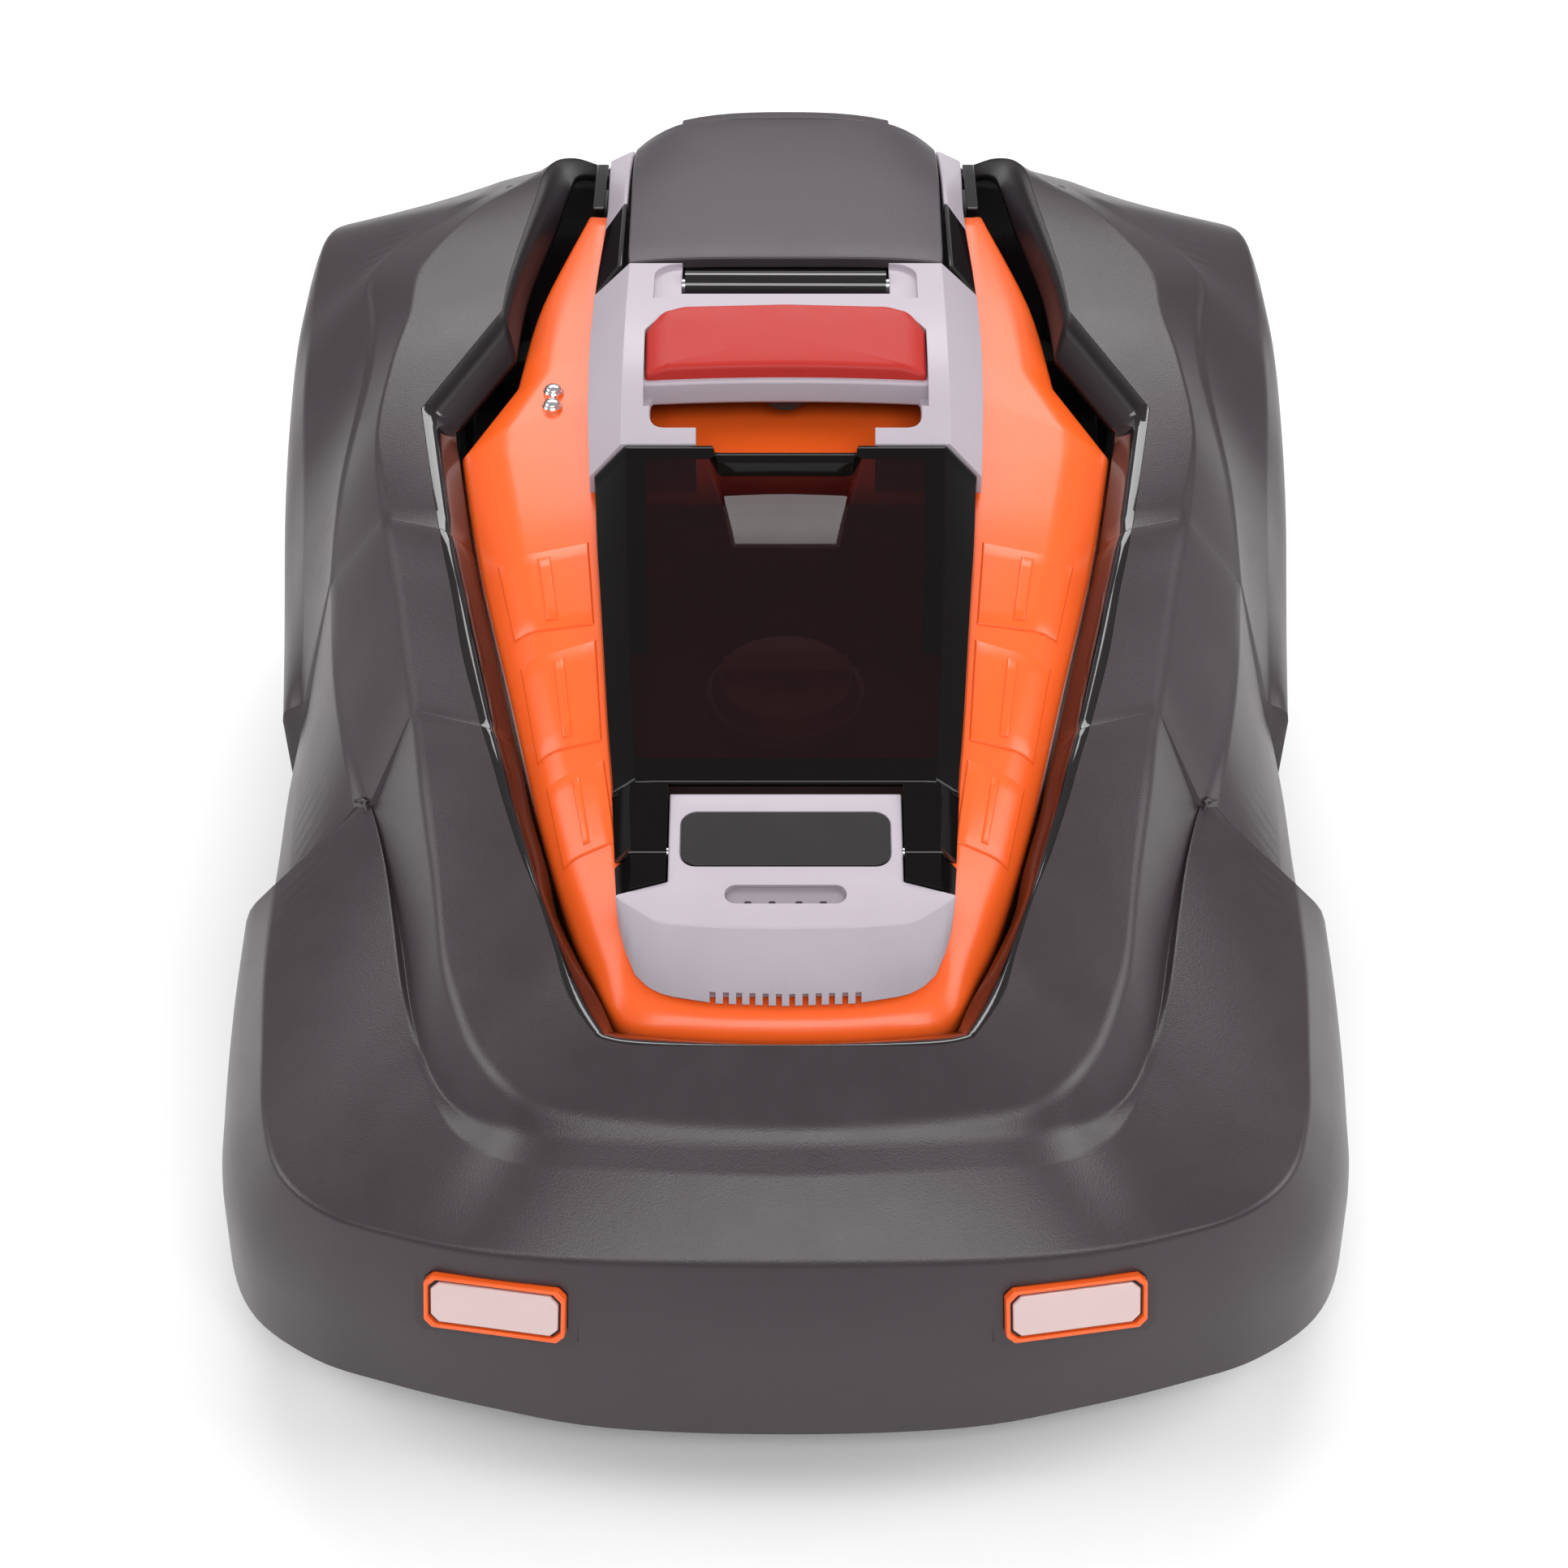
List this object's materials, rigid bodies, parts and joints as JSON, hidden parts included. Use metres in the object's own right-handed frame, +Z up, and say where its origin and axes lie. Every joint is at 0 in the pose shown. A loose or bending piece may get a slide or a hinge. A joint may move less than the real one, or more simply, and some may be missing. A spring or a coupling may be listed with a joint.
{
  "type": "robotic lawn mower",
  "caption": "Low robotic lawn mower with a dark floating shell, orange top cover, smoked front window, red stop button, rear lid, rear drive wheels and front casters.",
  "frame": {"origin": "on the ground, under the middle of the machine's length and width", "axes": "+Z up, +Y from nose to tail, +X to the right of someone facing the nose; the machine moves forward along -Y"},
  "size_m": [0.4444, 0.63, 0.2746],
  "materials": {
    "shell_plastic": "fine grained, satin",
    "gloss_black": "polished",
    "orange_gloss": "polished",
    "light_grey": "satin",
    "lid_plastic": "fine grained, satin",
    "chassis_plastic": "moulded, satin",
    "steel": "turned",
    "chrome": "polished",
    "battery_blue": "satin",
    "board_green": "solder mask",
    "bush_plastic": "satin",
    "rim_plastic": "satin",
    "tyre": "matt",
    "boot_rubber": "matt",
    "motor_metal": "satin",
    "button_red": "semi-gloss",
    "smoked": "polished, smoked",
    "screen": "polished",
    "reflector_lens": "prismatic"
  },
  "bodies": {
    "chassis": {"chassis_tub": "chassis_plastic", "orange_cover": "orange_gloss", "centre_frame": "light_grey", "side_cheeks": "gloss_black", "window_well": "chassis_plastic", "badge_plate": "lid_plastic", "status_light": "chassis_plastic", "rain_sensor": "chrome", "charging_contacts": "steel", "battery_pack": "battery_blue", "battery_cover": "chassis_plastic", "base_screws": "steel", "main_board": "board_green", "wire_sensors": "board_green", "drive_motor_left": "chassis_plastic", "drive_motor_right": "chassis_plastic", "caster_bushes": "bush_plastic", "lift_bracket": "steel", "guide_rods": "steel", "control_panel": "chassis_plastic", "display_screen": "screen", "stop_switch": "chassis_plastic", "hinge_pins": "steel"},
    "drive_wheel_left": {"rim_left": "rim_plastic", "tyre_left": "tyre", "axle_left": "steel", "hub_cap_left": "chassis_plastic"},
    "drive_wheel_right": {"rim_right": "rim_plastic", "tyre_right": "tyre", "axle_right": "steel", "hub_cap_right": "chassis_plastic"},
    "caster_left": {"caster_fork_left": "chassis_plastic", "caster_axle_left": "steel"},
    "caster_right": {"caster_fork_right": "chassis_plastic", "caster_axle_right": "steel"},
    "caster_wheel_left": {"caster_wheel_left": "tyre"},
    "caster_wheel_right": {"caster_wheel_right": "tyre"},
    "cutter_lift": {"cutter_carriage": "chassis_plastic", "cutter_motor": "motor_metal"},
    "cutting_disc": {"blade_disc": "motor_metal", "blade_screws": "steel"},
    "blade_1": {"blade_1": "steel"},
    "blade_2": {"blade_2": "steel"},
    "blade_3": {"blade_3": "steel"},
    "height_dial": {"height_knob": "light_grey", "height_spindle": "steel"},
    "stop_button": {"stop_button": "button_red"},
    "rear_lid": {"rear_lid": "lid_plastic", "lid_hinge": "gloss_black"},
    "window_cover": {"window_cover": "smoked", "window_hinges": "gloss_black"},
    "key_power": {"key_power": "light_grey"},
    "key_start": {"key_start": "light_grey"},
    "key_home": {"key_home": "light_grey"},
    "key_ok": {"key_ok": "light_grey"},
    "shell_carrier": {"post_boots": "boot_rubber"},
    "outer_shell": {"outer_shell": "shell_plastic", "shell_trim": "gloss_black", "reflector_frames": "orange_gloss", "reflector_lenses": "reflector_lens"}
  },
  "joints": [
    {"name": "drive_wheel_left_spin", "type": "hinge", "parent": "chassis", "child": "drive_wheel_left", "pos_m": [0.178, 0.16, 0.105], "axis": [1, 0, 0], "continuous": true},
    {"name": "drive_wheel_right_spin", "type": "hinge", "parent": "chassis", "child": "drive_wheel_right", "pos_m": [-0.178, 0.16, 0.105], "axis": [1, 0, 0], "continuous": true},
    {"name": "caster_left_swivel", "type": "hinge", "parent": "chassis", "child": "caster_left", "pos_m": [0.115, -0.195, 0.095], "axis": [0, 0, 1], "continuous": true},
    {"name": "caster_right_swivel", "type": "hinge", "parent": "chassis", "child": "caster_right", "pos_m": [-0.115, -0.195, 0.095], "axis": [0, 0, 1], "continuous": true},
    {"name": "caster_wheel_left_spin", "type": "hinge", "parent": "caster_left", "child": "caster_wheel_left", "pos_m": [0.115, -0.175, 0.038], "axis": [1, 0, 0], "continuous": true},
    {"name": "caster_wheel_right_spin", "type": "hinge", "parent": "caster_right", "child": "caster_wheel_right", "pos_m": [-0.115, -0.175, 0.038], "axis": [1, 0, 0], "continuous": true},
    {"name": "height_dial_turn", "type": "hinge", "parent": "chassis", "child": "height_dial", "pos_m": [0, -0.05, 0.165], "axis": [0, 0, 1], "range_deg": [0, 300]},
    {"name": "cutter_lift_slide", "type": "slide", "parent": "chassis", "child": "cutter_lift", "axis": [0, 0, 1], "range_m": [-0.027, 0]},
    {"name": "cutting_disc_spin", "type": "hinge", "parent": "cutter_lift", "child": "cutting_disc", "pos_m": [0, -0.063, 0.06], "axis": [0, 0, 1], "continuous": true},
    {"name": "blade_1_pivot", "type": "hinge", "parent": "cutting_disc", "child": "blade_1", "pos_m": [0.062, -0.063, 0.051], "axis": [0, 0, 1], "continuous": true},
    {"name": "blade_2_pivot", "type": "hinge", "parent": "cutting_disc", "child": "blade_2", "pos_m": [-0.031, -0.00931, 0.051], "axis": [0, 0, 1], "continuous": true},
    {"name": "blade_3_pivot", "type": "hinge", "parent": "cutting_disc", "child": "blade_3", "pos_m": [-0.031, -0.11669, 0.051], "axis": [0, 0, 1], "continuous": true},
    {"name": "stop_button_press", "type": "slide", "parent": "chassis", "child": "stop_button", "axis": [0, 0, -1], "range_m": [0, 0.004], "stiffness_N_per_m": 1500},
    {"name": "rear_lid_hinge", "type": "hinge", "parent": "chassis", "child": "rear_lid", "pos_m": [0, 0.12, 0.2635], "axis": [1, 0, 0], "range_deg": [0, 100]},
    {"name": "window_cover_hinge", "type": "hinge", "parent": "chassis", "child": "window_cover", "pos_m": [0, -0.159, 0.1845], "axis": [1, 0, 0], "range_deg": [0, 65]},
    {"name": "key_power_press", "type": "slide", "parent": "chassis", "child": "key_power", "axis": [0, 0, -1], "range_m": [0, 0.001], "stiffness_N_per_m": 400},
    {"name": "key_start_press", "type": "slide", "parent": "chassis", "child": "key_start", "axis": [0, 0, -1], "range_m": [0, 0.001], "stiffness_N_per_m": 400},
    {"name": "key_home_press", "type": "slide", "parent": "chassis", "child": "key_home", "axis": [0, 0, -1], "range_m": [0, 0.001], "stiffness_N_per_m": 400},
    {"name": "key_ok_press", "type": "slide", "parent": "chassis", "child": "key_ok", "axis": [0, 0, -1], "range_m": [0, 0.001], "stiffness_N_per_m": 400},
    {"name": "shell_bump", "type": "slide", "parent": "chassis", "child": "shell_carrier", "axis": [0, 1, 0], "range_m": [-0.005, 0.005], "stiffness_N_per_m": 2500},
    {"name": "shell_lift", "type": "slide", "parent": "shell_carrier", "child": "outer_shell", "axis": [0, 0, 1], "range_m": [0, 0.008]}
  ],
  "couplings": [
    {"joint": "height_dial_turn", "follows": "cutter_lift_slide", "rad_per_m": -193.93}
  ]
}
